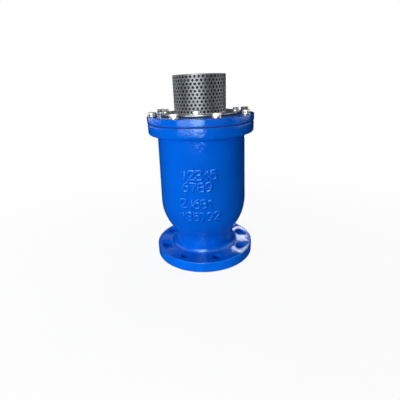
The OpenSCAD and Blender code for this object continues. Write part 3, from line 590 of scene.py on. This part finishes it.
# The floor is whiter further from the valve, so that it shows the shadow and no horizon
floor_half, floor_z = 4, -0.0003
pale_floor, tree = stage_material("pale_floor")
matt = add(tree, "ShaderNodeBsdfDiffuse", {"Color": (0.86, 0.86, 0.87, 1)})
glow = add(tree, "ShaderNodeEmission", {"Color": white_tone, "Strength": 1.0})
from_valve = add(tree, "ShaderNodeVectorMath", {0: add(tree, "ShaderNodeTexCoord").outputs["Object"]},
                 operation="LENGTH")
whiter = add(tree, "ShaderNodeMapRange", {"Value": from_valve.outputs["Value"], "From Min": 0.12,
                                          "From Max": 1.0, "To Min": 0.92, "To Max": 1.0})
share = add(tree, "ShaderNodeMath", {0: seen_directly(tree), 1: whiter.outputs["Result"]},
            operation="MULTIPLY")
mixed = add(tree, "ShaderNodeMixShader", {0: share.outputs[0], 1: matt.outputs[0], 2: glow.outputs[0]})
add(tree, "ShaderNodeOutputMaterial", {"Surface": mixed.outputs[0]})
floor_rows = [[(x, y, floor_z) for x in (-floor_half, floor_half)] for y in (-floor_half, floor_half)]
stage_sheet("floor", floor_rows, pale_floor)

# Screens stand on a circle; each covers some of its turns, between two pairs of radius and height
screen_cloth, tree = stage_material("screen_cloth")
cloth = add(tree, "ShaderNodeBsdfDiffuse", {"Color": (0.012, 0.045, 0.11, 1)})
add(tree, "ShaderNodeOutputMaterial", {"Surface": cloth.outputs[0]})
screen_r, screen_mid, screen_high, screen_back_high = 1.6, 0.7, 1.6, 2.2
floor_screen_r, floor_screen_z = 0.001, -0.0001
first_turn, turn_step, turn_count = 150, 5, 73
all_turns = [math.radians(first_turn + turn_step * i) for i in range(turn_count)]
back_turns, front_turns = all_turns[:13], all_turns[12:64]
for name, turns, rows in (
        ("low_screen", all_turns, ((screen_r, 0.0), (screen_r, screen_mid))),
        ("high_screen", front_turns, ((screen_r, screen_mid), (screen_r, screen_high))),
        ("back_screen", back_turns, ((screen_r, screen_mid), (screen_r, screen_back_high))),
        ("floor_screen", all_turns, ((floor_screen_r, floor_screen_z), (screen_r, floor_screen_z)))):
    corners = [[(r * math.sin(turn), -r * math.cos(turn), z) for turn in turns] for r, z in rows]
    sheet = stage_sheet(name, corners, screen_cloth)
    sheet.visible_camera = False
    sheet.visible_shadow = False
    sheet.visible_diffuse = False


def softbox(name, turn, distance, height, size, power, colour, aim, spread=180):
    """Area lamp at a turn in degrees from the front to the right; it faces the valve's axis at the aim."""
    lamp = bpy.data.lights.new(name, "AREA")
    lamp.shape = "RECTANGLE"
    lamp.size, lamp.size_y = size
    lamp.energy = power
    lamp.color = colour
    lamp.spread = math.radians(spread)
    holder = bpy.data.objects.new(name, lamp)
    angle = math.radians(turn)
    holder.location = (distance * math.sin(angle), -distance * math.cos(angle), height)
    holder.rotation_euler = (Vector((0, 0, aim)) - holder.location).to_track_quat("-Z", "Y").to_euler()
    scene.collection.objects.link(holder)
    return holder


# Lamps light the valve and are not mirrored in it, apart from the one overhead
daylight, warm_light, cool_light = (0.95, 0.975, 1.0), (1.0, 0.98, 0.95), (0.85, 1.0, 0.90)
softbox("overhead", 4, 0.75, 1.25, (0.4, 0.4), 0.5, warm_light, 0.1)
for lamp in (softbox("window", -16, 1.15, 0.50, (0.6, 0.5), 10.2, daylight, 0.12),
             softbox("left_fill", -80, 1.2, 0.45, (0.9, 0.8), 2.0, daylight, 0.2),
             softbox("back_right", 158, 1.1, 0.7, (0.5, 0.5), 5.0, daylight, 0.15),
             softbox("back_left", -150, 1.1, 0.7, (0.5, 0.5), 5.0, daylight, 0.15),
             softbox("foot_light", 0, 0.45, 0.014, (0.30, 0.03), 0.019, cool_light, 0.014, spread=14)):
    lamp.visible_glossy = False

# Panes are only mirrored: on the rims and edges, on the strainer, on the foot flange and in the neck's fillet
pane_white, pane_cool = (0.95, 1.0, 1.0), (0.85, 1.0, 1.0)
for pane in (softbox("wide_gleam", -14, 0.5, 0.540, (0.44, 0.620), 2.9, pane_white, 0.540),
             softbox("bright_gleam", 1, 0.5, 0.3125, (0.19, 0.175), 0.56, pane_white, 0.3125),
             softbox("edge_gleam", -10, 0.5, 0.80, (0.20, 0.20), 2.4, pane_white, 0.15),
             softbox("strainer_left", -100, 0.5, 0.36, (0.50, 0.20), 0.50, pane_white, 0.36),
             softbox("strainer_front", 35, 0.5, 0.36, (0.30, 0.20), 0.06, pane_white, 0.36),
             softbox("strainer_right", 95, 0.5, 0.36, (0.45, 0.20), 0.42, pane_white, 0.36),
             softbox("foot_gleam_low", 164, 0.364, 0.203, (0.045, 0.008), 0.045, pane_white, 0.03),
             softbox("foot_gleam_high", 164, 0.364, 0.230, (0.045, 0.008), 0.045, pane_white, 0.03),
             softbox("foot_gleam_left", -161, 0.85, 0.49, (0.12, 0.14), 0.03, pane_white, 0.05),
             softbox("neck_gleam", -16, 0.354, 0.498, (0.05, 0.05), 0.0015, pane_cool, -0.091, spread=8)):
    pane.visible_diffuse = False
